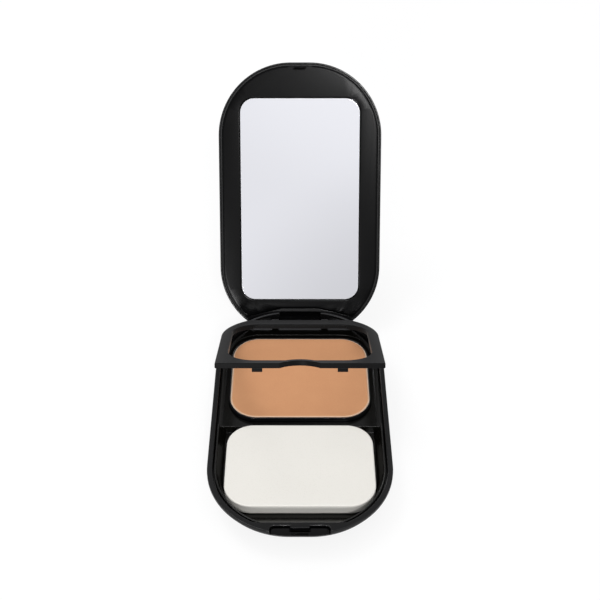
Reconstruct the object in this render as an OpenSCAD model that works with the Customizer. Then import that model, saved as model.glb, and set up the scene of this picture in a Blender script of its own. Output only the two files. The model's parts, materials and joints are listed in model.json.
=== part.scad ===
// Pressed powder compact with a mirror lid, a hinged pan frame, a powder refill and a sponge.
// Origin: centre of the flat underside. +Z up, -Y towards the push button, X along the hinge.
// The lid and the pan frame are drawn closed and then swung up about the hinge pin.

/* [Case] */
// Width of the case
case_w = 66; // [64:0.5:72]
// Length of the case, push button to hinge
case_l = 112; // [110:0.5:122]
// Corner radius of the outline seen from above
corner_r = 29.2; // [27:0.1:30]
// Height of the base from the table to its rim
base_h = 12; // [12:0.1:15]
// Height of the straight band below the base rim
band_h = 1.4; // [1:0.1:1.8]
// How far the underside and the top draw in from the outline
crown_inset = 15; // [13:0.5:17]
// Angle from upright at which the wall starts to curve in
crown_start = 30; // [24:1:34]
// Thickness of the base floor and the lid crown
wall = 1.3; // [1.1:0.1:1.6]
// Width of the flat rim round the base
rim_w = 1.9; // [1.8:0.1:2.2]
// Length of the deck over the push button, from the front of the case
deck_l = 4.66; // [4.6:0.02:4.9]
// Thickness of the deck
deck_t = 1.3; // [1.1:0.05:1.4]
// Bevel along the rims' edges
edge = 0.2; // [0.1:0.05:0.25]

/* [Lid] */
// Height of the lid
lid_h = 6.75; // [6.5:0.05:8]
// Height of the straight band above the lid rim
lid_band_h = 1; // [0.8:0.1:1.4]
// Gap between the two rims when the compact is shut
lid_gap = 0.25; // [0.2:0.05:0.4]
// Width of the lid's raised lip
lip_w = 0.75; // [0.7:0.05:0.85]
// Width of the groove between the lip and the mirror frame
groove_w = 0.5; // [0.4:0.05:0.6]
// Depth of the groove
groove_d = 0.6; // [0.5:0.05:0.7]
// How far the mirror frame lies below the lip
frame_sink = 0.2; // [0.1:0.05:0.3]
// Thickness of the mirror frame
frame_t = 2.15; // [2:0.05:2.3]
// Angle to which the lid opens
lid_open = 120.3; // [110:0.1:124]

/* [Mirror] */
// Width of the mirror
mirror_w = 48.4; // [40:0.1:50]
// Length of the mirror
mirror_l = 82.3; // [70:0.1:84]
// Corner radius of the mirror
mirror_r = 5.7; // [4:0.1:8]
// Thickness of the mirror glass
mirror_t = 1.1; // [1:0.05:1.2]
// How far the middle of the mirror lies in front of the case centre
mirror_offset = 0.75; // [0:0.05:1]
// Thickness of the tape that holds the mirror
tape_t = 0.15; // [0.1:0.01:0.2]
// How far the tape stays inside the mirror's edge
tape_inset = 1.5; // [1:0.1:3]

/* [Powder] */
// Distance from the side of the case to the pressed powder
powder_side = 6.7; // [6.6:0.1:8]
// Length of the pressed powder
powder_l = 42.8; // [40:0.1:43]
// Corner radius of the pressed powder
powder_r = 10; // [9:0.1:12]
// Distance from the hinge pin to the rear edge of the powder
powder_back = 9.5; // [9.4:0.05:10]
// Distance from the front edge of the powder to the front of the divider
powder_front = 5.05; // [4.9:0.05:5.6]
// How far the powder's face lies below the base rim
powder_sink = 2.1; // [2.1:0.05:2.4]
// Sheet thickness of the metal pan
pan_t = 0.25; // [0.2:0.01:0.35]
// Thickness of the glue under the pan
glue_t = 0.1; // [0.1:0.01:0.2]
// Wall thickness of the refill cup
cup_t = 0.5; // [0.45:0.05:0.6]
// Floor thickness of the refill cup
cup_floor = 0.6; // [0.5:0.05:0.8]

/* [Pan frame] */
// Thickness of the pan frame
flap_t = 1.95; // [1.8:0.05:2]
// Width of the front bar of the pan frame
flap_bar = 3.55; // [3:0.05:3.6]
// Gap between the pan frame and the base rim
flap_gap = 0.3; // [0.25:0.05:0.4]
// Angle to which the pan frame is raised while the lid is open
flap_open = 25.1; // [20:0.1:26]
// Depth of the finger notch in the front bar
notch_d = 2.9; // [2:0.1:3]
// Width of the finger notch
notch_w = 14.6; // [12:0.1:18]
// Width of the bridge that carries the front bar past the finger notch
bridge_w = 1.7; // [1.4:0.1:2]
// Width of each snap tab
tab_w = 3.8; // [3:0.1:5]
// Length of each snap tab below the pan frame
tab_l = 1.45; // [1.2:0.05:1.6]
// Distance between the two snap tabs
tab_pitch = 31; // [26:0.5:34]

/* [Tray] */
// Thickness of the tray's floor under the sponge
tray_floor = 1; // [0.8:0.05:1.1]
// Thickness of the tray's wall round the sponge
tray_wall = 0.8; // [0.7:0.05:0.9]
// Depth of the tray's floor under the sponge, from the rim
pocket_d = 5.6; // [5.5:0.05:5.8]
// Distance from the side of the case to the inner edge of the frame's ledge
ledge_side = 4.1; // [4:0.1:4.6]
// Depth of the shelf round the powder refill, from the rim
shelf_d = 4.1; // [3.8:0.1:4.4]
// Thickness of the divider
divider_t = 1.15; // [1:0.05:1.4]
// Length of the ramp that leads up to the deck
ramp_l = 6.2; // [5.8:0.1:6.5]
// Thickness of the ribs under the tray
rib_t = 0.8; // [0.6:0.05:1]
// Distance between the ribs under the tray
rib_pitch = 8; // [6:0.5:10]

/* [Sponge] */
// Distance from the side of the case to the sponge
sponge_side = 6.3; // [6.2:0.1:8]
// Room between the ramp and the sponge
sponge_front = 1.43; // [1.2:0.01:4]
// Thickness of the sponge
sponge_t = 4.6; // [4:0.1:5]
// Corner radius of the sponge
sponge_r = 9.5; // [9:0.1:12]

/* [Hinge] */
// Distance from the rear of the case to the hinge pin
pin_back = 5.2; // [5.1:0.05:5.3]
// Depth of the hinge pin below the base rim
pin_drop = 3.3; // [3.2:0.05:3.5]
// Radius of the hinge pin
pin_r = 0.9; // [0.7:0.05:1]
// Radius of the hinge barrels
barrel_r = 2.6; // [2.4:0.05:2.7]
// Width of the lid's hinge lug
lug_w = 16.6; // [14:0.1:17]
// Width of each hinge knuckle on the pan frame
knuckle_w = 2.8; // [2.4:0.1:3]
// Radius of the pan frame's hinge knuckles
knuckle_r = 1.9; // [1.8:0.05:2]
// Width of each hinge boss in the base
boss_w = 4.4; // [3.6:0.1:4.6]
// Side clearance between hinge parts
hinge_gap = 0.3; // [0.2:0.05:0.4]

/* [Latch] */
// Width of the push button
button_w = 19.6; // [18:0.1:20.4]
// Depth of the push button's top face, front to rear
button_d = 2.55; // [2.5:0.05:2.65]
// How far the push button's top lies below the rim
button_sink = 0.4; // [0.3:0.05:0.6]
// Travel of the push button
button_travel = 0.55; // [0.4:0.05:0.6]
// Width of the lid's hook
hook_w = 4.8; // [4:0.1:5]
// Thickness of the lid's hook
hook_t = 0.4; // [0.35:0.05:0.45]

/* [Hidden] */
$fn = 64;
eps = 0.02;
fit = 0.05;
seat_gap = 0.1;
run_gap = 0.3;
black = "#18181a";
glossy_black = "#101012";

rim_z = base_h;
pin_y = case_l / 2 - pin_back;
pin_z = rim_z - pin_drop;
front_y = -case_l / 2;

// Base: the inner wall draws in a little towards the rear rim
bowl_d = 2.8;
bowl_z = rim_z - bowl_d;
rear_lean = 1.4;
post_r = 2;
post_side = 16;
post_ends = 16;

// Powder refill
powder_w = case_w - 2 * powder_side;
powder_y = pin_y - powder_back - powder_l / 2;
powder_z = rim_z - powder_sink;
powder_edge = 0.3;
pan_w = powder_w + 2 * pan_t;
pan_l = powder_l + 2 * pan_t;
pan_r = powder_r + pan_t;
pan_sink = 0.35;
glue_inset = 2;
cup_w = pan_w + 2 * (fit + cup_t);
cup_l = pan_l + 2 * (fit + cup_t);
cup_r = pan_r + fit + cup_t;
bay_gap = 0.2;

// Tray: its outer wall follows the base and its floor steps up under the powder
tray_inset = rim_w + seat_gap;
tray_top = rim_z - 0.4;
pocket_z = rim_z - pocket_d;
pocket_lean = 3.2;
tray_z = pocket_z - tray_floor;
bay_z = tray_z + tray_floor - 0.2;
tray_end_y = pin_y - barrel_r - 0.5;
divider_front = powder_y - powder_l / 2 - powder_front;
tray_shoulder_z = rim_z - 2.7;
tray_lean = 3;
tray_step = 0.6;
well_inset = tray_inset + tray_step + 0.6;
shelf_z = rim_z - shelf_d;
shelf_back = 2.4;
shelf_rear = powder_y + powder_l / 2 + shelf_back;
shelf_r = powder_r + shelf_back;
pan_z = bay_z + cup_floor + glue_t;

// Pan frame: it shuts flush with the rim and rests on the tray's ledge
flap_z = rim_z - flap_t;
flap_inset = rim_w + flap_gap;
flap_front = divider_front + fit;
flap_rear = pin_y - barrel_r - 0.6;
ledge_z = flap_z - 0.15;
window_gap = 0.25;
window_w = pan_w + 2 * window_gap;
window_front = flap_front + flap_bar;
window_rear = pin_y - powder_back + 0.2;
window_r = pan_r + window_gap;
tab_t = 1;
tab_nose = 0.2;
relief_side = 8;
relief_w = window_w - 2 * relief_side;
relief_d = 0.45;
relief_t = 0.85;

// Deck over the push button
deck_y = front_y + deck_l;
deck_z = rim_z - deck_t;
ramp_foot = deck_y + ramp_l;
tray_front_y = deck_y + 0.34;

// Sponge
sponge_w = case_w - 2 * sponge_side;
sponge_rear = divider_front - 0.2;
sponge_l = sponge_rear - ramp_foot - sponge_front + 0.24;
sponge_y = sponge_rear - sponge_l / 2;
sponge_z = pocket_z + seat_gap;
sponge_edge = 1.6;

// Lid, shut
lip_z = rim_z + lid_gap;
lid_top = lip_z + lid_h;
face_z = lip_z + frame_sink;
groove_z = lip_z + groove_d;
groove_foot = lip_w + groove_w + 0.45;
mirror_y = -mirror_offset;
mirror_z = face_z + 0.1;
mirror_edge = 0.15;
cove_r = norm([pin_back, pin_drop]) + 0.2;
cove_t = 1.05;
cove_w = 2 * reach(0, pin_back) + 2 * run_gap;
cove_mid = 15;
cove_end_r = pin_drop + 0.25;
cove_rim = 0.8;
cove_rim_w = cove_mid + 8;
lug_front = 2.4;

// Latch
button_top = rim_z - button_sink;
button_r = 1.3;
plate_t = 1;
plate_z = deck_z - fit - plate_t - 0.25;
plate_w = 12.4;
catch_back = 2.35;
catch_y = front_y + catch_back;
plate_back = catch_back + 1.4;
plate_rear = front_y + plate_back;
ear_l = 0.65;
ear_w = 2 * (reach(rim_w, plate_back - ear_l) - run_gap);
hook_y = catch_y - 0.2;
hook_nose = 0.45;
hook_tip_z = plate_z - 0.7;
hook_room = 0.25;
window_y = catch_y - button_travel - hook_t - 0.25;
tongue_w = 6.4;
button_crease = 2.1;
button_fall = 1.1;
thumb_w = 5.6;
thumb_front = 0.15;
thumb_rear = 0.85;
thumb_z = button_top - button_fall - 0.2;
slot_z = plate_z - 0.2;
slot_w = button_w + 0.8;
slot_rear = front_y + button_d + 0.7;
spring_t = 0.15;
spring_w = 9;
spring_h = 0.6;

// A quarter of an oval from one point to another, given as inset and height
function crown(from, to, steps = 8) =
    [for (k = [0:steps])
        let (a = crown_start + (90 - crown_start) * k / steps)
        [from[0] + (to[0] - from[0]) * (cos(crown_start) - cos(a)) / cos(crown_start),
         from[1] + (to[1] - from[1]) * (sin(a) - sin(crown_start)) / (1 - sin(crown_start))]];

// Half the width of the case outline, drawn in by inset, at that depth behind its front
function reach(inset, depth) =
    case_w / 2 - corner_r + sqrt(pow(corner_r - inset, 2) - pow(corner_r - depth, 2));

function reversed(list) = [for (k = [len(list) - 1:-1:0]) list[k]];

// Cross-section of a pebble: the edge profile at one side and its mirror image at the other
function section(half, profile) =
    concat([for (p = profile) [half - p[0], p[1]]],
           [for (p = reversed(profile)) [p[0] - half, p[1]]]);

// A rounded rectangular block whose edge follows a profile of [inset, height] points all round
module pebble(w, l, r, profile) {
    last = len(profile) - 1;
    union() {
        rotate([90, 0, 90])
            linear_extrude(w - 2 * r, center = true) polygon(section(l / 2, profile));
        rotate([90, 0, 0])
            linear_extrude(l - 2 * r, center = true) polygon(section(w / 2, profile));
        for (sx = [0, 1], sy = [0, 1])
            mirror([sx, 0, 0]) mirror([0, sy, 0])
                translate([w / 2 - r, l / 2 - r, 0])
                    rotate_extrude(angle = 90)
                        polygon(concat([[0, profile[last][1]], [0, profile[0][1]]],
                                       [for (p = profile) [r - p[0], p[1]]]));
    }
}

// The same block following the outline of the case
module case_form(profile) {
    pebble(case_w, case_l, corner_r, profile);
}

// A straight-sided rounded block with a bevel round its foot and its top
module block(w, l, r, z0, z1, foot = 0, top = 0) {
    pebble(w, l, r, concat(foot > 0 ? [[foot, z0], [0, z0 + foot]] : [[0, z0]],
                           top > 0 ? [[0, z1 - top], [top, z1]] : [[0, z1]]));
}

// Cutter for a rounded opening whose upper edge, at the height z1, is bevelled
module opening(w, l, r, z0, z1, bevel = edge) {
    pebble(w, l, r, [[0, z0], [0, z1 - bevel], [-bevel, z1], [-bevel, z1 + 1]]);
}

// A box given by its lowest and highest corners
module span(low, high) {
    translate(low) cube(high - low);
}

// A prism along X with the given cross-section in Y and Z
module prism(w, points) {
    rotate([90, 0, 90]) linear_extrude(w, center = true) polygon(points);
}

// A round bar along X on the hinge axis
module on_pin(r, w) {
    translate([0, pin_y, pin_z]) rotate([0, 90, 0]) cylinder(r = r, h = w, center = true);
}

// Moves closed geometry to the angle at which it stands open
module swung(angle) {
    translate([0, pin_y, pin_z]) rotate([-angle, 0, 0]) translate([0, -pin_y, -pin_z]) children();
}

base_profile = concat(reversed(crown([0, rim_z - band_h], [crown_inset, 0])),
                      [[0, rim_z - edge], [edge, rim_z]]);
knuckle_x = lug_w / 2 + hinge_gap + 0.2;
boss_x = knuckle_x + knuckle_w + hinge_gap;

module base_cavity() {
    case_form(concat(reversed(crown([rim_w, bowl_z], [crown_inset, wall])),
                     [[rim_w, rim_z - edge], [rim_w - edge, rim_z], [rim_w - edge, rim_z + 1]]));
    intersection() {
        case_form([[rim_w + seat_gap, bowl_z + 0.5], [rim_w - rear_lean + seat_gap, rim_z + 1]]);
        span([-case_w, case_l / 2 - corner_r, 0], [case_w, case_l, rim_z + 2]);
    }
}

// Posts that carry the tray, in pairs under the sponge and the powder
module tray_posts() {
    for (side = [-1, 1], y = [sponge_y - sponge_l / 2 + post_ends / 2, divider_front, tray_end_y - post_ends])
        translate([side * (case_w / 2 - post_side), y, 0]) cylinder(r = post_r, h = tray_z);
}

module hinge_bosses() {
    for (side = [-1, 1])
        translate([side * (boss_x + boss_w / 2), 0, 0]) {
            on_pin(barrel_r, boss_w);
            span([-boss_w / 2, pin_y - barrel_r, 0], [boss_w / 2, case_l, pin_z]);
        }
}

module deck() prism(2 * case_w, [[-case_l, deck_z], [deck_y, deck_z], [deck_y, rim_z - edge],
                                 [deck_y - edge, rim_z], [deck_y - edge, rim_z + 2], [-case_l, rim_z + 2]]);

module base_shell() color(black) difference() {
    case_form(base_profile);
    difference() {
        base_cavity();
        deck();
        hinge_bosses();
        tray_posts();
    }
    latch_slot();
    // the lid's lug swings down through this notch
    span([-lug_w / 2 - hinge_gap, pin_y - 0.1, -1], [lug_w / 2 + hinge_gap, case_l, rim_z + 1]);
    // room for the pan frame's knuckles
    on_pin(knuckle_r + 0.2, 2 * boss_x);
    // the pin goes in from the right
    translate([case_w / 4 - (boss_x + boss_w) / 2, 0, 0])
        on_pin(pin_r + fit / 2, case_w / 2 + boss_x + boss_w);
}

module latch_slot() {
    difference() {
        translate([0, front_y - 1, 0])
            opening(slot_w, 2 * (slot_rear - front_y + 1), button_r + run_gap, slot_z, rim_z);
        span([-tongue_w / 2, catch_y - fit, deck_z], [tongue_w / 2, 0, rim_z + 2]);
    }
    // well for the tip of the hook
    span([-hook_w / 2 - run_gap, hook_y - hook_t - 0.15, hook_tip_z - hook_room],
         [hook_w / 2 + run_gap, catch_y + hook_nose, slot_z + eps]);
}

// The tray's wall steps in above its shoulder, which leaves a groove inside the rim
tray_profile = [[tray_inset + tray_lean, tray_z], [tray_inset, tray_shoulder_z],
                [tray_inset + tray_step, tray_shoulder_z + eps], [tray_inset + tray_step, tray_top]];

module sponge_pocket() intersection() {
    case_form([[tray_inset + tray_lean + 0.4, pocket_z],
               [well_inset, pocket_z + pocket_lean], [well_inset, tray_top - edge],
               [well_inset - edge, tray_top], [well_inset - edge, rim_z + 1]]);
    prism(case_w, [[divider_front, pocket_z - 1], [divider_front, rim_z + 1],
                   [deck_y - 1, rim_z + 1], [deck_y - 0.24, tray_top],
                   [ramp_foot - 0.24, pocket_z], [ramp_foot, pocket_z - 1]]);
}

// The pocket in which the refill cup stands. grow is added all round in plan.
module refill_bay(z0, foot = 0, grow = 0) {
    translate([0, powder_y, 0])
        block(cup_w + 2 * (bay_gap + grow), cup_l + 2 * (bay_gap + grow), cup_r + bay_gap + grow,
              z0, rim_z, foot = foot);
}

// Lower shelf round the cup, from the divider to the rear ledge, so that fingers can grip the cup
module refill_shelf(z0, grow = 0) intersection() {
    half = case_w / 2 - ledge_side + grow;
    front = divider_front + divider_t - grow;
    rear = shelf_rear + grow;
    case_form([[ledge_side - grow, z0], [ledge_side - grow, rim_z]]);
    union() {
        translate([0, (front + rear) / 2, 0]) block(2 * half, rear - front, shelf_r + grow, z0, rim_z);
        span([-half, front, z0], [half, powder_y, rim_z]);
    }
}

// Hollow under the tray's rear ledge and its ramp, open downwards and crossed by ribs
module tray_coring() {
    foot = tray_inset + tray_lean + tray_wall;
    ramp_t = tray_wall * norm([ramp_l, tray_top - pocket_z]) / ramp_l;
    difference() {
        case_form([[foot, tray_z - 1], [foot, ledge_z - tray_wall]]);
        // keeps the wall round the bay, the shelf, the ribs and the rear wall
        refill_bay(0, grow = tray_wall);
        refill_shelf(shelf_z - tray_wall, grow = tray_wall);
        for (k = [-1:1])
            span([k * rib_pitch - rib_t / 2, -case_l, 0], [k * rib_pitch + rib_t / 2, case_l, rim_z]);
        span([-case_w, tray_end_y - tray_wall, 0], [case_w, case_l, rim_z]);
        // keeps the divider, the floors, the ramp and the front wall
        prism(2 * case_w, [[powder_y, 0], [powder_y, rim_z],
                           [deck_y - 0.24, rim_z], [deck_y - 0.24, tray_top - ramp_t],
                           [ramp_foot - 0.24, pocket_z - ramp_t], [ramp_foot - 0.24, 0]]);
        span([-case_w, -case_l, 0], [case_w, tray_front_y + tray_wall, rim_z]);
    }
}

module inner_tray() color(glossy_black) difference() {
    case_form(tray_profile);
    sponge_pocket();
    refill_bay(bay_z, foot = 1);
    refill_shelf(shelf_z);
    tray_coring();
    // ledge and divider on which the pan frame rests, with notches for its tabs
    span([-case_w, divider_front, ledge_z], [case_w, case_l, rim_z + 1]);
    for (side = [-1, 1])
        translate([side * tab_pitch / 2, 0, 0])
            span([-tab_w / 2 - run_gap, divider_front - eps, flap_z - tab_l - 0.2],
                 [tab_w / 2 + run_gap, divider_front + divider_t + tab_nose, rim_z]);
    // room for the hinge and for the push button
    span([-case_w, tray_end_y, 0], [case_w, case_l, rim_z + 1]);
    span([-case_w, -case_l, hook_tip_z - 0.4], [case_w, tray_front_y, rim_z + 1]);
}

module refill_cup() color(glossy_black) translate([0, powder_y, 0]) difference() {
    block(cup_w, cup_l, cup_r, bay_z, ledge_z, foot = 0.9, top = edge);
    block(pan_w + 2 * fit, pan_l + 2 * fit, pan_r + fit, bay_z + cup_floor, rim_z, foot = 0.3);
}

module pan_adhesive() color("#d8d2c0") translate([0, powder_y, 0])
    block(powder_w - 2 * glue_inset, powder_l - 2 * glue_inset, powder_r - glue_inset,
          bay_z + cup_floor, pan_z);

module powder_pan() color("#b9bbbe") translate([0, powder_y, 0]) difference() {
    block(pan_w, pan_l, pan_r, pan_z, powder_z - pan_sink, foot = 0.4);
    block(powder_w, powder_l, powder_r, pan_z + pan_t, rim_z, foot = 0.2);
}

module powder_cake() color("#c7926a") translate([0, powder_y, 0])
    block(powder_w, powder_l, powder_r, pan_z + pan_t, powder_z, foot = 0.2, top = powder_edge);

module sponge() color("#efede4") translate([0, sponge_y, 0])
    block(sponge_w, sponge_l, sponge_r, sponge_z, sponge_z + sponge_t, foot = sponge_edge, top = 0.5);

// Circle that gives the finger notch its width and depth
notch_r = (notch_w * notch_w / 4 + notch_d * notch_d) / (2 * notch_d);
notch_y = flap_front + notch_d - notch_r;

// A disc about the finger notch's centre, bevelled outwards by flare at the frame's top face
module notch_disc(r, flare = 0) {
    translate([0, notch_y, 0]) cylinder(r = r, h = rim_z + 2);
    if (flare > 0)
        translate([0, notch_y, rim_z - flare]) cylinder(r1 = r, r2 = r + 2 * flare, h = 2 * flare);
}

module frame_plate() difference() {
    intersection() {
        case_form([[flap_inset + edge, flap_z], [flap_inset, flap_z + edge],
                   [flap_inset, rim_z - edge], [flap_inset + edge, rim_z]]);
        prism(case_w, [[flap_front + edge, flap_z - 1], [flap_front, flap_z], [flap_front, rim_z - edge],
                       [flap_front + edge, rim_z], [flap_front + edge, rim_z + 1], [flap_rear, rim_z + 1],
                       [flap_rear, flap_z - 1]]);
    }
    difference() {
        translate([0, (window_front + window_rear) / 2, 0])
            opening(window_w, window_rear - window_front, window_r, flap_z - 1, rim_z);
        notch_disc(notch_r + bridge_w);
    }
    notch_disc(notch_r, flare = edge);
    // relief below the edge of the rear bar
    span([-relief_w / 2, window_rear - 1, 0], [relief_w / 2, window_rear + relief_d, rim_z - relief_t]);
}

// Tab that drops into the divider's notch, with a small nose behind
module frame_tab() prism(tab_w, [[flap_front + 0.1, flap_z + eps], [flap_front + 0.1, flap_z - tab_l],
                                 [flap_front + tab_t / 2, flap_z - tab_l],
                                 [flap_front + tab_t + tab_nose, flap_z - tab_l / 2],
                                 [flap_front + tab_t, flap_z + eps]]);

module frame_knuckle() {
    on_pin(knuckle_r, knuckle_w);
    prism(knuckle_w, [[flap_rear - 0.8, flap_z], [flap_rear - 0.8, rim_z], [flap_rear + 1.2, rim_z],
                      [pin_y + knuckle_r / 2, pin_z + knuckle_r * 0.86], [pin_y, pin_z],
                      [pin_y - knuckle_r * 0.9, pin_z], [tray_end_y + run_gap, flap_z]]);
}

module pan_frame() color(black) swung(flap_open) difference() {
    union() {
        frame_plate();
        for (side = [-1, 1]) {
            translate([side * tab_pitch / 2, 0, 0]) frame_tab();
            translate([side * (knuckle_x + knuckle_w / 2), 0, 0]) frame_knuckle();
        }
    }
    on_pin(pin_r + fit, case_w);
}

module hinge_pin() color("#9a9ca0") on_pin(pin_r, 2 * (boss_x + boss_w) - 0.4);

module latch_button() color(glossy_black) difference() {
    union() {
        intersection() {
            case_form(base_profile);
            translate([0, front_y, 0])
                block(button_w, 2 * button_d, button_r, plate_z, button_top, top = edge);
        }
        span([-plate_w / 2, front_y + 1, plate_z], [plate_w / 2, plate_rear, plate_z + plate_t]);
        span([-ear_w / 2, plate_rear - ear_l, plate_z], [ear_w / 2, plate_rear, plate_z + plate_t]);
    }
    // window for the hook, and room for the deck's tongue above it
    span([-hook_w / 2 - 0.5, window_y, 0], [hook_w / 2 + 0.5, catch_y, rim_z]);
    span([-tongue_w / 2 - run_gap, window_y, plate_z + plate_t], [tongue_w / 2 + run_gap, 0, rim_z]);
    // the top falls away to the front, with a recess for the thumbnail
    prism(case_w, [[front_y + button_crease, rim_z], [front_y + button_crease, button_top],
                   [front_y, button_top - button_fall], [front_y - 1, button_top - button_fall],
                   [front_y - 1, rim_z]]);
    span([-thumb_w / 2, front_y + thumb_front, thumb_z], [thumb_w / 2, front_y + thumb_rear, rim_z]);
}

// Bowed leaf between the push button and the tray's front wall
module latch_spring() color("#a8abae") {
    bow = tray_front_y - plate_rear - 2 * fit;
    half = spring_w / 2;
    r = (half * half + bow * bow) / (2 * bow);
    intersection() {
        translate([0, plate_rear + fit + r, plate_z + (plate_t - spring_h) / 2]) difference() {
            cylinder(r = r, h = spring_h);
            translate([0, 0, -1]) cylinder(r = r - spring_t, h = spring_h + 2);
        }
        span([-half, plate_rear, 0], [half, tray_front_y - fit, rim_z]);
    }
}

// Cove that clears the base's rear rim: straight in the middle, narrower towards the corners
module lid_cove(grow = 0) {
    on_pin(cove_r + grow, cove_mid);
    for (side = [0, 1])
        mirror([side, 0, 0]) translate([cove_mid / 2, pin_y, pin_z]) rotate([0, 90, 0])
            cylinder(r1 = cove_r + grow, r2 = cove_end_r + grow, h = (cove_w - cove_mid) / 2 + grow);
}

module lid_dome() difference() {
    case_form(concat([[edge, lip_z], [0, lip_z + edge]],
                     crown([0, lip_z + lid_band_h], [crown_inset, lid_top])));
    difference() {
        case_form(concat([[lip_w - edge, lip_z - 1], [lip_w - edge, lip_z], [lip_w, lip_z + edge],
                          [lip_w, groove_z], [groove_foot, groove_z + eps]],
                         crown([groove_foot, lip_z + lid_band_h + 0.1], [crown_inset, lid_top - wall])));
        lid_cove(cove_t);
    }
}

module lid_shell() color(black) swung(lid_open) difference() {
    union() {
        difference() {
            lid_dome();
            lid_cove();
            // blunt edge over the cove
            span([-cove_rim_w / 2, pin_y, lip_z - 1], [cove_rim_w / 2, case_l, lip_z + cove_rim]);
        }
        on_pin(barrel_r, lug_w);
        span([-lug_w / 2, pin_y - lug_front, pin_z], [lug_w / 2, pin_y + barrel_r, pin_z + cove_r + 0.15]);
    }
    on_pin(pin_r + fit, case_w);
}

panel_inset = lip_w + groove_w;
panel_foot = panel_inset + 0.55;

module mirror_frame() color(black) swung(lid_open) {
    difference() {
        case_form([[panel_inset + edge, face_z], [panel_inset, face_z + edge], [panel_inset, groove_z - fit],
                   [panel_foot, groove_z - fit + eps], [panel_foot, face_z + 0.7],
                   [panel_foot + 1.75, face_z + frame_t]]);
        translate([0, mirror_y, 0])
            pebble(mirror_w + 2 * seat_gap, mirror_l + 2 * seat_gap, mirror_r + seat_gap,
                   [[-edge, face_z - 1], [-edge, face_z], [0, face_z + edge],
                    [0, mirror_z + mirror_t + tape_t]]);
        lid_cove(cove_t + seat_gap);
    }
    lid_hook();
}

// Hook that the push button's window catches
module lid_hook() {
    span([-hook_w / 2, hook_y - hook_t, hook_tip_z], [hook_w / 2, hook_y, face_z + 0.5]);
    prism(hook_w, [[hook_y - eps, hook_tip_z], [hook_y - eps, plate_z - 0.2],
                   [hook_y + hook_nose, plate_z - 0.2], [hook_y + hook_nose, plate_z - 0.4]]);
}

module mirror_tape() color("#c9cacc") swung(lid_open) translate([0, mirror_y, 0])
    block(mirror_w - 2 * tape_inset, mirror_l - 2 * tape_inset, mirror_r - tape_inset,
          mirror_z + mirror_t, mirror_z + mirror_t + tape_t);

module mirror_glass() color("#dcdde6") swung(lid_open) translate([0, mirror_y, 0])
    block(mirror_w, mirror_l, mirror_r, mirror_z, mirror_z + mirror_t, foot = mirror_edge);

base_shell();
inner_tray();
refill_cup();
pan_adhesive();
powder_pan();
powder_cake();
sponge();
pan_frame();
hinge_pin();
latch_button();
latch_spring();
lid_shell();
mirror_frame();
mirror_tape();
mirror_glass();  // mirror
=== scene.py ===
# Pressed powder compact, open: finishes, sponge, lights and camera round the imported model
import json
import math

import bpy
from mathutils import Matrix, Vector, noise


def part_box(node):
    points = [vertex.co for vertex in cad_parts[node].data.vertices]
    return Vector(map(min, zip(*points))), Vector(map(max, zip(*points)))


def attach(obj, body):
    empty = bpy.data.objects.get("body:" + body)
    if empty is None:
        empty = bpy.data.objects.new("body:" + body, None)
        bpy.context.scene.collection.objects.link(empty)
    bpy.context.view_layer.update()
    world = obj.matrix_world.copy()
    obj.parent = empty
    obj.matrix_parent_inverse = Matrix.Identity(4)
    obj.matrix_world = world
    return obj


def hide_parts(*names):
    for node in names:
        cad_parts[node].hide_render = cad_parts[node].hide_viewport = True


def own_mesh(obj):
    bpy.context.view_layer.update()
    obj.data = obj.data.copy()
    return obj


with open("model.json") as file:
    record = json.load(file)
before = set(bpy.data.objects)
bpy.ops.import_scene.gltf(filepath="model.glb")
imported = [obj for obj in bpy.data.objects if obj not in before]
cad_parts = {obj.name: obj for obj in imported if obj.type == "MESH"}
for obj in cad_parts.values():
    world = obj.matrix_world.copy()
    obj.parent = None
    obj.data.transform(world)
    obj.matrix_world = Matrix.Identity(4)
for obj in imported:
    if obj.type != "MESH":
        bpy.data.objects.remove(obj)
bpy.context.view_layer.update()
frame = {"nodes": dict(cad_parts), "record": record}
bpy.ops.object.select_all(action="DESELECT")
mm = 0.001
print("frame loaded")


# Shader helpers

def addNode(tree, kind, inputs=None, **settings):
    node = tree.nodes.new(kind)
    for key, value in settings.items():
        setattr(node, key, value)
    for key, value in (inputs or {}).items():
        node.inputs[key].default_value = value
    return node


def newGroup(name, inputs, outputs):
    # inputs maps each socket's name to its default; outputs maps each socket's name to its type
    group = bpy.data.node_groups.new(name, "ShaderNodeTree")
    for socketName, default in inputs.items():
        kind = "NodeSocketVector" if default is None else "NodeSocketFloat"
        socket = group.interface.new_socket(socketName, in_out="INPUT", socket_type=kind)
        if default is not None:
            socket.default_value = default
    for socketName, kind in outputs.items():
        group.interface.new_socket(socketName, in_out="OUTPUT", socket_type=kind)
    return group, addNode(group, "NodeGroupInput"), addNode(group, "NodeGroupOutput")


def newMaterial(name):
    material = bpy.data.materials.new(name)
    material.use_nodes = True
    tree = material.node_tree
    tree.nodes.clear()
    shader = addNode(tree, "ShaderNodeBsdfPrincipled")
    out = addNode(tree, "ShaderNodeOutputMaterial")
    tree.links.new(shader.outputs[0], out.inputs["Surface"])
    return material, tree, shader


def mixColors(tree, first, second):
    # input 0 says how much of the second colour shows
    return addNode(tree, "ShaderNodeMix", {6: (*first, 1), 7: (*second, 1)}, data_type="RGBA")


def addBump(tree, shader, height, strength, distance):
    # distance is in millimetres
    bump = addNode(tree, "ShaderNodeBump", {"Strength": strength, "Distance": distance * mm})
    tree.links.new(height, bump.inputs["Height"])
    tree.links.new(bump.outputs["Normal"], shader.inputs["Normal"])


# Fine moulded surface: tiny orange-peel height, soft handling marks and a few specks of dust.
# A speck is full at the second of its two radii, and only the cells above dusty carry one.
mouldedLook = dict(peelScale=900.0, marksScale=60.0, marks=0.1, roughness=0.3,
                   specksScale=260.0, speck=(0.035, 0.02), dusty=0.93)


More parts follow.
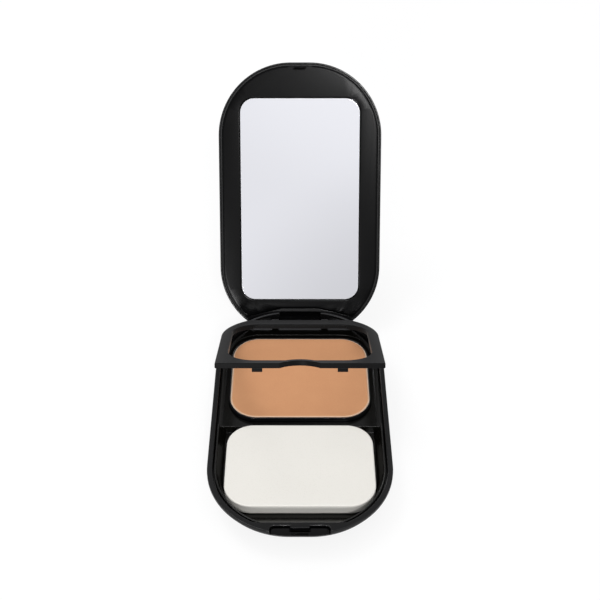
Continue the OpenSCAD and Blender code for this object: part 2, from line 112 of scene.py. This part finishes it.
def makeMouldedSurface():
    group, given, out = newGroup(
        "mouldedSurface",
        {"Vector": None, "Peel Scale": mouldedLook["peelScale"],
         "Marks Scale": mouldedLook["marksScale"], "Marks": mouldedLook["marks"],
         "Roughness": mouldedLook["roughness"]},
        {"Roughness": "NodeSocketFloat", "Height": "NodeSocketFloat", "Dust": "NodeSocketFloat"})
    link = group.links.new
    peel = addNode(group, "ShaderNodeTexNoise", {"Detail": 2.0, "Roughness": 0.4})
    marks = addNode(group, "ShaderNodeTexNoise",
                    {"Detail": 5.0, "Roughness": 0.62, "Distortion": 0.6})
    specks = addNode(group, "ShaderNodeTexVoronoi",
                     {"Scale": mouldedLook["specksScale"], "Randomness": 1.0})
    for texture in (peel, marks, specks):
        link(given.outputs["Vector"], texture.inputs["Vector"])
    link(given.outputs["Peel Scale"], peel.inputs["Scale"])
    link(given.outputs["Marks Scale"], marks.inputs["Scale"])
    centred = addNode(group, "ShaderNodeMath", {1: 0.5}, operation="SUBTRACT")
    link(marks.outputs["Fac"], centred.inputs[0])
    scaled = addNode(group, "ShaderNodeMath", operation="MULTIPLY")
    link(centred.outputs[0], scaled.inputs[0])
    link(given.outputs["Marks"], scaled.inputs[1])
    total = addNode(group, "ShaderNodeMath", operation="ADD", use_clamp=True)
    link(scaled.outputs[0], total.inputs[0])
    link(given.outputs["Roughness"], total.inputs[1])
    link(total.outputs[0], out.inputs["Roughness"])
    link(peel.outputs["Fac"], out.inputs["Height"])
    outside, full = mouldedLook["speck"]
    near = addNode(group, "ShaderNodeMapRange", {"From Min": outside, "From Max": full})
    link(specks.outputs["Distance"], near.inputs["Value"])
    chosen = addNode(group, "ShaderNodeMath", {1: mouldedLook["dusty"]}, operation="GREATER_THAN")
    parts = addNode(group, "ShaderNodeSeparateColor")
    link(specks.outputs["Color"], parts.inputs[0])
    link(parts.outputs[0], chosen.inputs[0])
    dust = addNode(group, "ShaderNodeMath", operation="MULTIPLY")
    link(near.outputs[0], dust.inputs[0])
    link(chosen.outputs[0], dust.inputs[1])
    link(dust.outputs[0], out.inputs["Dust"])
    return group


mouldedSurface = makeMouldedSurface()

# Black plastics: colour, roughness, how strong the handling marks are, the peel's height in mm,
# how strongly the surface mirrors, and a sheen where it has one
blackPlastics = {
    "black_shell": dict(color=(0.0030, 0.0030, 0.0032), rough=0.20, marks=0.07,
                        peel=0.0010, specular=0.42),
    "black_lid": dict(color=(0.0028, 0.0028, 0.0030), rough=0.18, marks=0.07,
                      peel=0.0010, specular=0.36),
    "black_panel": dict(color=(0.0018, 0.0018, 0.0020), rough=0.22, marks=0.05,
                        peel=0.0008, specular=0.09),
    "black_frame": dict(color=(0.0048, 0.0048, 0.0050), rough=0.33, marks=0.07,
                        peel=0.0010, specular=0.06, sheen=0.10),
    "black_button": dict(color=(0.0026, 0.0026, 0.0028), rough=0.15, marks=0.07,
                         peel=0.0010, specular=0.10),
    "black_gloss": dict(color=(0.0034, 0.0032, 0.0024), rough=0.22, marks=0.04,
                        peel=0.0002, specular=0.45),
    "black_cup": dict(color=(0.0022, 0.0024, 0.0030), rough=0.18, marks=0.04,
                      peel=0.0003, specular=0.46),
}
plasticLook = dict(peelScale=1300.0, dust=(0.05, 0.05, 0.05), bump=0.35)


def makeBlackPlastic(name, look):
    material, tree, shader = newMaterial(name)
    link = tree.links.new
    place = addNode(tree, "ShaderNodeTexCoord")
    surface = addNode(tree, "ShaderNodeGroup", node_tree=mouldedSurface)
    surface.inputs["Peel Scale"].default_value = plasticLook["peelScale"]
    surface.inputs["Marks"].default_value = look["marks"]
    surface.inputs["Roughness"].default_value = look["rough"]
    link(place.outputs["Object"], surface.inputs["Vector"])
    color = mixColors(tree, look["color"], plasticLook["dust"])
    link(surface.outputs["Dust"], color.inputs[0])
    link(color.outputs[2], shader.inputs["Base Color"])
    link(surface.outputs["Roughness"], shader.inputs["Roughness"])
    addBump(tree, shader, surface.outputs["Height"], plasticLook["bump"], look["peel"])
    shader.inputs["Specular IOR Level"].default_value = look["specular"]
    shader.inputs["Sheen Weight"].default_value = look.get("sheen", 0.0)
    return material


# Pressed powder: dense fine grain with faint pigment mottling. The cake's rounded edge has a
# painted highlight: pale where the normal's Z falls to the first of slopes, full at the second.
powderLook = dict(light=(0.682, 0.342, 0.172), dark=(0.632, 0.306, 0.151), pale=(0.95, 0.70, 0.50),
                  grain=2600.0, mottle=140.0, mottleShare=0.35, contrast=(0.32, 0.68),
                  edgeHighlight=0.85, slopes=(0.97, 0.80), bump=0.5, height=0.03,
                  roughness=0.93, specular=0.18)


def makePowder():
    material, tree, shader = newMaterial("powder")
    link = tree.links.new
    place = addNode(tree, "ShaderNodeTexCoord")
    grain = addNode(tree, "ShaderNodeTexNoise",
                    {"Scale": powderLook["grain"], "Detail": 3.0, "Roughness": 0.7})
    mottle = addNode(tree, "ShaderNodeTexNoise", {"Scale": powderLook["mottle"], "Detail": 4.0})
    for texture in (grain, mottle):
        link(place.outputs["Object"], texture.inputs["Vector"])
    both = addNode(tree, "ShaderNodeMix", {0: powderLook["mottleShare"]}, data_type="FLOAT")
    link(grain.outputs["Fac"], both.inputs[2])
    link(mottle.outputs["Fac"], both.inputs[3])
    low, high = powderLook["contrast"]
    spread = addNode(tree, "ShaderNodeMapRange", {"From Min": low, "From Max": high})
    link(both.outputs[0], spread.inputs["Value"])
    color = mixColors(tree, powderLook["dark"], powderLook["light"])
    link(spread.outputs[0], color.inputs[0])
    # painted highlight: the cake's rounded edge turns pale as its normal tilts away from straight
    # up
    slope = addNode(tree, "ShaderNodeSeparateXYZ")
    link(place.outputs["Normal"], slope.inputs[0])
    first, full = powderLook["slopes"]
    edgeHighlight = addNode(tree, "ShaderNodeMapRange",
                     {"From Min": first, "From Max": full, "To Max": powderLook["edgeHighlight"]})
    link(slope.outputs["Z"], edgeHighlight.inputs["Value"])
    edgeColor = addNode(tree, "ShaderNodeMix", {7: (*powderLook["pale"], 1)}, data_type="RGBA")
    link(edgeHighlight.outputs[0], edgeColor.inputs[0])
    link(color.outputs[2], edgeColor.inputs[6])
    link(edgeColor.outputs[2], shader.inputs["Base Color"])
    addBump(tree, shader, grain.outputs["Fac"], powderLook["bump"], powderLook["height"])
    shader.inputs["Roughness"].default_value = powderLook["roughness"]
    shader.inputs["Specular IOR Level"].default_value = powderLook["specular"]
    return material


# Latex foam: matte skin; fine open pores with painted shade keep skinShare of the skin's colour
foamLook = dict(color=(0.850, 0.829, 0.772), poreShade=(0.70, 0.675, 0.61), pores=1500.0,
                poreSize=(0.08, 0.34), skinShare=0.72, soft=900.0, bump=0.35, depth=0.06,
                roughness=0.9, specular=0.2)


def makeFoam():
    material, tree, shader = newMaterial("foam")
    link = tree.links.new
    place = addNode(tree, "ShaderNodeTexCoord")
    pores = addNode(tree, "ShaderNodeTexVoronoi", {"Scale": foamLook["pores"]})
    soft = addNode(tree, "ShaderNodeTexNoise",
                   {"Scale": foamLook["soft"], "Detail": 4.0, "Roughness": 0.6})
    for texture in (pores, soft):
        link(place.outputs["Object"], texture.inputs["Vector"])
    low, high = foamLook["poreSize"]
    hollow = addNode(tree, "ShaderNodeMapRange", {"From Min": low, "From Max": high})
    link(pores.outputs["Distance"], hollow.inputs["Value"])
    # painted shade: the pores' hollows are coloured darker than the skin
    color = mixColors(tree, foamLook["poreShade"], foamLook["color"])
    eased = addNode(tree, "ShaderNodeMapRange", {"To Min": foamLook["skinShare"], "To Max": 1.0})
    link(hollow.outputs[0], eased.inputs["Value"])
    link(eased.outputs[0], color.inputs[0])
    link(color.outputs[2], shader.inputs["Base Color"])
    height = addNode(tree, "ShaderNodeMath", operation="ADD")
    link(hollow.outputs[0], height.inputs[0])
    link(soft.outputs["Fac"], height.inputs[1])
    addBump(tree, shader, height.outputs[0], foamLook["bump"], foamLook["depth"])
    shader.inputs["Roughness"].default_value = foamLook["roughness"]
    shader.inputs["Specular IOR Level"].default_value = foamLook["specular"]
    return material


def openLidDirections():
    # out is the way the open lid's face points, and up runs along it away from the hinge
    joints = frame["record"]["behaviour"]["joints"]
    hinge = next(joint for joint in joints if joint["name"] == "lid_hinge")
    lean = math.radians(hinge["range_deg"][1])
    sine, cosine = math.sin(lean), math.cos(lean)
    return Vector((0, -sine, -cosine)), Vector((0, -cosine, sine))


# Silvered glass: a polished face with a faint haze of cleaning marks, and a cut edge ground dull.
# The edge starts where the cosine to the face's normal falls to the first of edge, and is full at
# the second.
mirrorLook = dict(color=(0.90, 0.905, 0.945), roughness=0.015, haze=0.012, hazeScale=35.0,
                  groundRoughness=0.42, groundMetal=0.25, edge=(0.9995, 0.993))


def makeMirror():
    material, tree, shader = newMaterial("silveredGlass")
    link = tree.links.new
    place = addNode(tree, "ShaderNodeTexCoord")
    surface = addNode(tree, "ShaderNodeGroup", node_tree=mouldedSurface)
    surface.inputs["Marks"].default_value = mirrorLook["haze"]
    surface.inputs["Marks Scale"].default_value = mirrorLook["hazeScale"]
    surface.inputs["Roughness"].default_value = mirrorLook["roughness"]
    link(place.outputs["Object"], surface.inputs["Vector"])
    facing = addNode(tree, "ShaderNodeVectorMath", operation="DOT_PRODUCT")
    facing.inputs[1].default_value = openLidDirections()[0]
    link(place.outputs["Normal"], facing.inputs[0])
    first, full = mirrorLook["edge"]
    ground = addNode(tree, "ShaderNodeMapRange", {"From Min": first, "From Max": full})
    link(facing.outputs["Value"], ground.inputs["Value"])
    rough = addNode(tree, "ShaderNodeMath", {1: mirrorLook["groundRoughness"]},
                    operation="MULTIPLY_ADD")
    link(ground.outputs[0], rough.inputs[0])
    link(surface.outputs["Roughness"], rough.inputs[2])
    link(rough.outputs[0], shader.inputs["Roughness"])
    metal = addNode(tree, "ShaderNodeMapRange",
                    {"To Min": 1.0, "To Max": mirrorLook["groundMetal"]})
    link(ground.outputs[0], metal.inputs["Value"])
    link(metal.outputs[0], shader.inputs["Metallic"])
    shader.inputs["Base Color"].default_value = (*mirrorLook["color"], 1)
    return material


# Drawn or rolled steel: fine lines along X
steels = {
    "pin_steel": dict(color=(0.55, 0.55, 0.56), rough=0.30),
    "spring_steel": dict(color=(0.6, 0.6, 0.61), rough=0.28),
}
steelLines = dict(scale=1500.0, stretch=(0.05, 1, 1), vary=0.08, bump=0.2, height=0.004)


def makeMetal(name, color, rough):
    material, tree, shader = newMaterial(name)
    link = tree.links.new
    place = addNode(tree, "ShaderNodeTexCoord")
    turned = addNode(tree, "ShaderNodeMapping")
    turned.inputs["Scale"].default_value = steelLines["stretch"]
    lines = addNode(tree, "ShaderNodeTexNoise", {"Scale": steelLines["scale"], "Detail": 3.0})
    link(place.outputs["Object"], turned.inputs["Vector"])
    link(turned.outputs[0], lines.inputs["Vector"])
    vary = steelLines["vary"]
    spread = addNode(tree, "ShaderNodeMapRange", {"To Min": rough - vary, "To Max": rough + vary})
    link(lines.outputs["Fac"], spread.inputs["Value"])
    link(spread.outputs[0], shader.inputs["Roughness"])
    addBump(tree, shader, lines.outputs["Fac"], steelLines["bump"], steelLines["height"])
    shader.inputs["Base Color"].default_value = (*color, 1)
    shader.inputs["Metallic"].default_value = 1.0
    return material


# The pan's drawn sheet metal, dusted with powder on its rim
panLook = dict(metal=(0.72, 0.72, 0.73), dusted=(0.95, 0.72, 0.53), cloud=500.0,
               dust=0.34, fade=0.1, roughness=0.55)


def makePan():
    material, tree, shader = newMaterial("pan_metal")
    link = tree.links.new
    place = addNode(tree, "ShaderNodeTexCoord")
    cloud = addNode(tree, "ShaderNodeTexNoise",
                    {"Scale": panLook["cloud"], "Detail": 4.0, "Roughness": 0.6})
    link(place.outputs["Object"], cloud.inputs["Vector"])
    dusted = addNode(tree, "ShaderNodeMapRange",
                     {"From Min": panLook["dust"] - panLook["fade"], "From Max": panLook["dust"]})
    link(cloud.outputs["Fac"], dusted.inputs["Value"])
    color = mixColors(tree, panLook["metal"], panLook["dusted"])
    link(dusted.outputs[0], color.inputs[0])
    link(color.outputs[2], shader.inputs["Base Color"])
    bare = addNode(tree, "ShaderNodeMapRange", {"To Min": 1.0, "To Max": 0.0})
    link(dusted.outputs[0], bare.inputs["Value"])
    link(bare.outputs[0], shader.inputs["Metallic"])
    shader.inputs["Roughness"].default_value = panLook["roughness"]
    return material


# Thin films of glue and tape, a little cloudy
films = {"adhesive": (0.80, 0.78, 0.70), "tape": (0.70, 0.70, 0.72)}
filmLook = dict(cloud=400.0, darker=0.8, roughness=0.6)


def makeFilm(name, color):
    material, tree, shader = newMaterial(name)
    link = tree.links.new
    place = addNode(tree, "ShaderNodeTexCoord")
    cloud = addNode(tree, "ShaderNodeTexNoise", {"Scale": filmLook["cloud"], "Detail": 4.0})
    link(place.outputs["Object"], cloud.inputs["Vector"])
    mixed = mixColors(tree, tuple(filmLook["darker"] * part for part in color), color)
    link(cloud.outputs["Fac"], mixed.inputs[0])
    link(mixed.outputs[2], shader.inputs["Base Color"])
    shader.inputs["Roughness"].default_value = filmLook["roughness"]
    return material


materials = {slot: makeBlackPlastic(slot, look) for slot, look in blackPlastics.items()}
materials["powder"] = makePowder()
materials["sponge"] = makeFoam()
materials["mirror"] = makeMirror()
materials["pan_metal"] = makePan()
materials.update({slot: makeMetal(slot, **look) for slot, look in steels.items()})
materials.update({slot: makeFilm(slot, color) for slot, color in films.items()})
slotOf = {part["node"]: part["material_slot"] for part in frame["record"]["subparts"]}
print("materials made")


# Mesh helpers

def makeActive(piece):
    bpy.ops.object.select_all(action="DESELECT")
    piece.select_set(True)
    bpy.context.view_layer.objects.active = piece


def applyAll(piece):
    makeActive(piece)
    for modifier in list(piece.modifiers):
        bpy.ops.object.modifier_apply(modifier=modifier.name)


def selectEdges(piece, wanted):
    # selects the edges whose two ends satisfy wanted(a, b)
    makeActive(piece)
    bpy.ops.object.mode_set(mode="EDIT")
    bpy.ops.mesh.select_mode(type="EDGE")
    bpy.ops.mesh.select_all(action="DESELECT")
    bpy.ops.object.mode_set(mode="OBJECT")
    for edge in piece.data.edges:
        a, b = (piece.data.vertices[i].co for i in edge.vertices)
        edge.select = wanted(a, b)
    bpy.ops.object.mode_set(mode="EDIT")


def bevelEdges(piece, wanted, width, segments):
    selectEdges(piece, wanted)
    bpy.ops.mesh.bevel(offset=width, segments=segments, affect="EDGES", clamp_overlap=True)
    bpy.ops.object.mode_set(mode="OBJECT")


def finishPiece(piece, name, node, body):
    # the piece stands for the CAD node, rides on its body and takes its finish
    piece.name = name
    piece.data.name = name
    piece.data.materials.clear()
    piece.data.materials.append(materials[slotOf[node]])
    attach(piece, body)
    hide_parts(node)


# Hard pieces: the CAD forms with welded corners, edges broken by edge millimetres, and soft shading
shellPieces = {
    "baseShell": dict(node="base_shell", body="base", edge=0.12),
    "innerTray": dict(node="inner_tray", body="base", edge=0.15),
    "refillCup": dict(node="refill_cup", body="base", edge=0.15),
    "powderPan": dict(node="powder_pan", body="base", edge=0.03),
    "powderCake": dict(node="powder_cake", body="base", edge=0.34),
    "hingePin": dict(node="hinge_pin", body="base", edge=0.10),
    "leafSpring": dict(node="latch_spring", body="base", edge=0.02),
    "panFrame": dict(node="pan_frame", body="frame", edge=0.10),
    "latchButton": dict(node="latch_button", body="button", edge=0.08),
    "lidShell": dict(node="lid_shell", body="lid", edge=0.08),
    "mirrorFrame": dict(node="mirror_frame", body="lid", edge=0.10),
    "mirrorGlass": dict(node="mirror", body="lid", edge=0.08),
}


# In millimetres and degrees: stray is how far a bevelled corner may leave the form
shellLook = dict(weld=0.002, flat=0.1, segments=3, bevelFrom=35, smoothTo=38, stray=0.4)


def keepOnForm(piece, form, limit):
    # a corner that a bevel has thrown out goes back to the CAD form
    for vertex in piece.data.vertices:
        nearest = form.closest_point_on_mesh(vertex.co)[1]
        if (vertex.co - nearest).length > limit:
            vertex.co = nearest


# The mirror frame's face falls away over outer millimetres towards the lid's lip, and over inner
# millimetres towards the glass. A point within level of the face belongs to it, opening is how far
# round the glass the inner ones are looked for, and notch keeps the hook's place as it is.
rimLook = dict(outer=0.8, inner=0.45, opening=1.2, notch=5.0, level=0.02)


def easeRims(piece):
    # the face leans with the open lid, so places on it are measured along the lid and its normal
    out, up = openLidDirections()
    glass = [vertex.co for vertex in frame["nodes"]["mirror"].data.vertices]
    spare = rimLook["opening"] * mm
    halfWidth = max(co.x for co in glass) + spare
    foot, head = min(co.dot(up) for co in glass) - spare, max(co.dot(up) for co in glass) + spare
    points = [vertex.co for vertex in piece.data.vertices]
    face = max(co.dot(out) for co in points if abs(co.x) > halfWidth + spare)
    level = [co for co in points if abs(co.dot(out) - face) < rimLook["level"] * mm]
    inner = [co for co in level if abs(co.x) < halfWidth and foot < co.dot(up) < head]
    outer = [co for co in level if abs(co.x) > halfWidth or not foot < co.dot(up) < head]
    outer = [co for co in outer if abs(co.x) > rimLook["notch"] * mm]
    for ring, move in ((outer, -rimLook["outer"] * mm), (inner, rimLook["inner"] * mm)):
        wide = max(abs(co.x) for co in ring)
        low, high = min(co.dot(up) for co in ring), max(co.dot(up) for co in ring)
        for co in ring:
            along = (co.dot(up) - (low + high) / 2) / ((high - low) / 2)
            co.x += move * co.x / wide
            co += up * move * along


def makeShellPiece(name, look):
    piece = bpy.data.objects.new(name, frame["nodes"][look["node"]].data.copy())
    bpy.context.scene.collection.objects.link(piece)
    makeActive(piece)
    bpy.ops.object.mode_set(mode="EDIT")
    bpy.ops.mesh.select_all(action="SELECT")
    bpy.ops.mesh.remove_doubles(threshold=shellLook["weld"] * mm)
    bpy.ops.mesh.dissolve_limited(angle_limit=math.radians(shellLook["flat"]))
    bpy.ops.mesh.vert_connect_concave()
    bpy.ops.object.mode_set(mode="OBJECT")
    if piece.data.has_custom_normals:
        bpy.ops.mesh.customdata_custom_splitnormals_clear()
    if name == "mirrorFrame":
        easeRims(piece)
    rounded = piece.modifiers.new("brokenEdges", "BEVEL")
    rounded.width = look["edge"] * mm
    rounded.segments = shellLook["segments"]
    rounded.limit_method = "ANGLE"
    rounded.angle_limit = math.radians(shellLook["bevelFrom"])
    rounded.use_clamp_overlap = False
    applyAll(piece)
    keepOnForm(piece, frame["nodes"][look["node"]], shellLook["stray"] * mm)
    bpy.ops.object.shade_smooth_by_angle(angle=math.radians(shellLook["smoothTo"]))
    flat = piece.modifiers.new("flatFaces", "WEIGHTED_NORMAL")
    flat.keep_sharp = True
    applyAll(piece)
    finishPiece(piece, name, look["node"], look["body"])
    return piece


shells = {name: makeShellPiece(name, look) for name, look in shellPieces.items()}
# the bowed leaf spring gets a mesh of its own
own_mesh(shells["leafSpring"])
# the glue and the tape keep their CAD solids
for hiddenNode in ("pan_adhesive", "mirror_tape"):
    cadPiece = frame["nodes"][hiddenNode]
    cadPiece.data.materials.clear()
    cadPiece.data.materials.append(materials[slotOf[hiddenNode]])
print("shells finished")


# Sponge: a die-cut latex block in millimetres. Its sides draw in at mid height, its face sways.
spongeLook = dict(corner=dict(width=9.5, segments=16), faceEdge=dict(width=0.35, segments=5),
                  footEdge=dict(width=0.6, segments=6), voxel=0.3, relax=0.5, relaxings=3,
                  drawIn=0.15, sway=0.05, swayScale=70.0)


def makeSponge():
    low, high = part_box("sponge")
    low, high = Vector(low), Vector(high)
    middle, size = (low + high) / 2, high - low
    bpy.ops.object.select_all(action="DESELECT")
    bpy.ops.mesh.primitive_cube_add(size=1, location=middle)
    sponge = bpy.context.active_object
    sponge.scale = size
    bpy.ops.object.transform_apply(location=True, rotation=False, scale=True)
    near = 0.01 * mm
    for edge, wanted in (("corner", lambda a, b: abs(a.z - b.z) > size.z / 2),
                         ("faceEdge", lambda a, b: min(a.z, b.z) > high.z - near),
                         ("footEdge", lambda a, b: max(a.z, b.z) < low.z + near)):
        bevelEdges(sponge, wanted, spongeLook[edge]["width"] * mm, spongeLook[edge]["segments"])
    remesh = sponge.modifiers.new("evenMesh", "REMESH")
    remesh.mode = "VOXEL"
    remesh.voxel_size = spongeLook["voxel"] * mm
    applyAll(sponge)
    relax = sponge.modifiers.new("relax", "SMOOTH")
    relax.factor, relax.iterations = spongeLook["relax"], spongeLook["relaxings"]
    applyAll(sponge)
    for vertex in sponge.data.vertices:
        place = vertex.co - middle
        across, along = place.x / (size.x / 2), place.y / (size.y / 2)
        rise = 0.5 + place.z / size.z
        # the waist is narrowest at mid height, and the sway grows towards the face
        waist = spongeLook["drawIn"] * mm * 4 * rise * (1 - rise)
        place.x -= waist * across * abs(across)
        place.y -= waist * along * abs(along)
        sway = noise.noise(vertex.co * spongeLook["swayScale"]) * spongeLook["sway"] * mm
        place.z += (sway - spongeLook["sway"] * mm * 0.5) * max(0, rise) ** 2
        vertex.co = middle + place
    bpy.ops.object.shade_smooth()
    return sponge


sponge = makeSponge()
finishPiece(sponge, "spongePad", "sponge", "base")
print("sponge made")


# Floor, light and camera
cameraLook = dict(place=(0, -0.2575, 0.2870), pitch=40.61, lens=59.9, sensor=36, clip=(0.01, 20))
camera = bpy.data.cameras.new("camera")
camera.lens = cameraLook["lens"]
camera.sensor_width = cameraLook["sensor"]
camera.clip_start, camera.clip_end = cameraLook["clip"]
cameraObject = bpy.data.objects.new("camera", camera)
bpy.context.scene.collection.objects.link(cameraObject)
cameraObject.location = cameraLook["place"]
cameraObject.rotation_euler = (math.radians(90 - cameraLook["pitch"]), 0, 0)
bpy.context.scene.camera = cameraObject

# The floor looks white, and glows less in what it lights and where it is mirrored. It lies drop
# millimetres under the compact.
floorLook = dict(size=6, drop=0.02, color=0.20, glow=0.82, reflectedGlow=0.22,
                 roughness=0.9, specular=0.1)
bpy.ops.mesh.primitive_plane_add(size=floorLook["size"], location=(0, 0, -floorLook["drop"] * mm))
floor = bpy.context.active_object
floor.name = "floor"
floorMaterial, floorTree, floorShader = newMaterial("floor")
floorShader.inputs["Base Color"].default_value = (*[floorLook["color"]] * 3, 1)
floorShader.inputs["Roughness"].default_value = floorLook["roughness"]
floorShader.inputs["Specular IOR Level"].default_value = floorLook["specular"]
floorShader.inputs["Emission Color"].default_value = (1, 1, 1, 1)
floorRay = addNode(floorTree, "ShaderNodeLightPath")
floorGlow = addNode(floorTree, "ShaderNodeMapRange",
                    {"To Min": floorLook["reflectedGlow"], "To Max": floorLook["glow"]})
floorTree.links.new(floorRay.outputs["Is Camera Ray"], floorGlow.inputs["Value"])
floorTree.links.new(floorGlow.outputs[0], floorShader.inputs["Emission Strength"])
floor.data.materials.append(floorMaterial)

# Studio: a pale room with brighter and darker panels. Each stands in a direction, in degrees to the
# right of the front and above the floor. Its light is full within inner degrees of there and gone
# beyond outer, and it adds to the room's level, or takes from it where it is negative.
room = dict(color=(0.985, 0.985, 1.0), level=0.80)
panels = {
    "wallBehind": dict(at=(180, 20), inner=25, outer=31, light=-0.60),
    "wallTop": dict(at=(180, 64), inner=10, outer=15, light=-0.52),
    "ceiling": dict(at=(0, 88), inner=8, outer=36, light=0.36),
    "leftFlag": dict(at=(-105, 20), inner=24, outer=42, light=-0.56),
    "rightFlag": dict(at=(105, 20), inner=24, outer=42, light=-0.56),
    "frontWall": dict(at=(0, 25), inner=16, outer=58, light=-0.34),
    "frontCard": dict(at=(0, 25.5), inner=6.0, outer=11.0, light=0.41),
    "frontUpper": dict(at=(4, 37), inner=0, outer=12, light=0.10),
    "frontLower": dict(at=(8, 14), inner=0, outer=15, light=-0.20),
}


def standingAt(at, distance):
    azimuth, elevation = (math.radians(angle) for angle in at)
    flat = distance * math.cos(elevation)
    return (math.sin(azimuth) * flat, -math.cos(azimuth) * flat, distance * math.sin(elevation))


def addPanelLight(tree, direction, panel):
    towards = addNode(tree, "ShaderNodeVectorMath", {1: standingAt(panel["at"], 1)},
                      operation="DOT_PRODUCT")
    tree.links.new(direction.outputs["Generated"], towards.inputs[0])
    inner, outer = (math.cos(math.radians(panel[reach])) for reach in ("inner", "outer"))
    glow = addNode(tree, "ShaderNodeMapRange",
                   {"From Min": outer, "From Max": inner, "To Max": panel["light"]},
                   interpolation_type="SMOOTHSTEP")
    tree.links.new(towards.outputs["Value"], glow.inputs["Value"])
    return glow


def makeStudio():
    world = bpy.data.worlds.new("studio")
    bpy.context.scene.world = world
    world.use_nodes = True
    tree = world.node_tree
    direction = addNode(tree, "ShaderNodeTexCoord")
    total = addNode(tree, "ShaderNodeValue")
    total.outputs[0].default_value = room["level"]
    for panel in panels.values():
        added = addNode(tree, "ShaderNodeMath", operation="ADD")
        tree.links.new(total.outputs[0], added.inputs[0])
        tree.links.new(addPanelLight(tree, direction, panel).outputs[0], added.inputs[1])
        total = added
    # the camera sees plain white behind the compact
    ray = addNode(tree, "ShaderNodeLightPath")
    seen = addNode(tree, "ShaderNodeMix", {3: 1.0}, data_type="FLOAT")
    tree.links.new(ray.outputs["Is Camera Ray"], seen.inputs[0])
    tree.links.new(total.outputs[0], seen.inputs[2])
    background = tree.nodes["Background"]
    background.inputs["Color"].default_value = (*room["color"], 1)
    tree.links.new(seen.outputs[0], background.inputs["Strength"])


makeStudio()


# Softboxes: where each stands and what it faces, in metres, the width and height of its window, and
# its power in watts. The front pair stand frontDistance off, in directions given as for the panels.
compactMiddle = (0, 0.05, 0.05)
frontDistance = 2
softboxes = {
    "softboxTop": dict(place=(-0.30, 0.16, 0.85), aim=(0, 0, 0), size=(0.30, 0.30), power=1.2),
    "softboxBack": dict(place=(-0.9, 1.7, 0.7), aim=compactMiddle, size=(0.5, 0.9), power=5.0),
    "softboxRight": dict(place=standingAt((10.5, 39), frontDistance), aim=compactMiddle,
                         size=(0.26, 0.26), power=10.0),
    "softboxLeft": dict(place=standingAt((-11.5, 15), frontDistance), aim=compactMiddle,
                        size=(0.26, 0.26), power=10.0),
}


def addSoftbox(name, place, aim, size, power):
    light = bpy.data.lights.new(name, "AREA")
    light.shape = "RECTANGLE"
    light.size, light.size_y = size
    light.energy = power
    box = bpy.data.objects.new(name, light)
    bpy.context.scene.collection.objects.link(box)
    box.location = place
    box.rotation_euler = (Vector(aim) - Vector(place)).to_track_quat("-Z", "Y").to_euler()


for name, look in softboxes.items():
    addSoftbox(name, **look)
bpy.context.scene.view_settings.view_transform = "Standard"
bpy.context.scene.view_settings.look = "None"
print("stage set")
